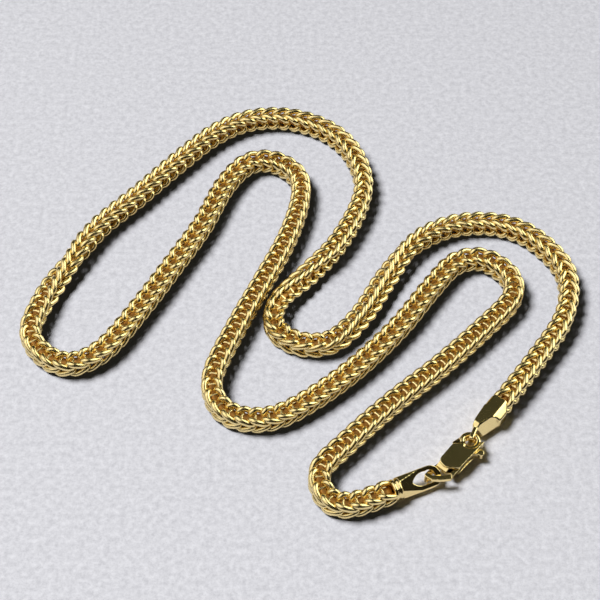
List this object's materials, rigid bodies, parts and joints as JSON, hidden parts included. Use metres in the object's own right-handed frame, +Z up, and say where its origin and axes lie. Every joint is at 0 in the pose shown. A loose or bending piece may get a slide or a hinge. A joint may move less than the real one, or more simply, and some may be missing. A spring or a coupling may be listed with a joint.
{
  "type": "franco chain necklace",
  "caption": "Square-section franco chain necklace laid in open curves, closed by a lobster clasp with a sprung lever hooked into an almond-shaped end eye.",
  "frame": {"origin": "middle of the laid-out necklace's box, on the plane that it rests on", "axes": "+X across the layout, the longer way; +Y away from the side with the clasp; +Z up from the table"},
  "size_m": [0.1042, 0.0941, 0.004],
  "materials": {
    "chain_gold": "polished yellow gold, bright cut links",
    "fitting_gold": "polished yellow gold"
  },
  "bodies": {
    "necklace": {"chain_first_run": "chain_gold", "chain_second_run": "chain_gold", "end_cap_loop": "fitting_gold", "end_cap_eye": "fitting_gold", "clasp_body": "fitting_gold", "lever_pin": "fitting_gold"},
    "lever": {"clasp_lever": "fitting_gold"}
  },
  "joints": [
    {"name": "clasp_lever_hinge", "type": "hinge", "parent": "necklace", "child": "lever", "pos_m": [0.02789, -0.03536, 0.0018], "axis": [0, 0, -1], "range_deg": [0, 20], "stiffness_Nm_per_rad": 0.002, "springref_deg": -11.46}
  ]
}
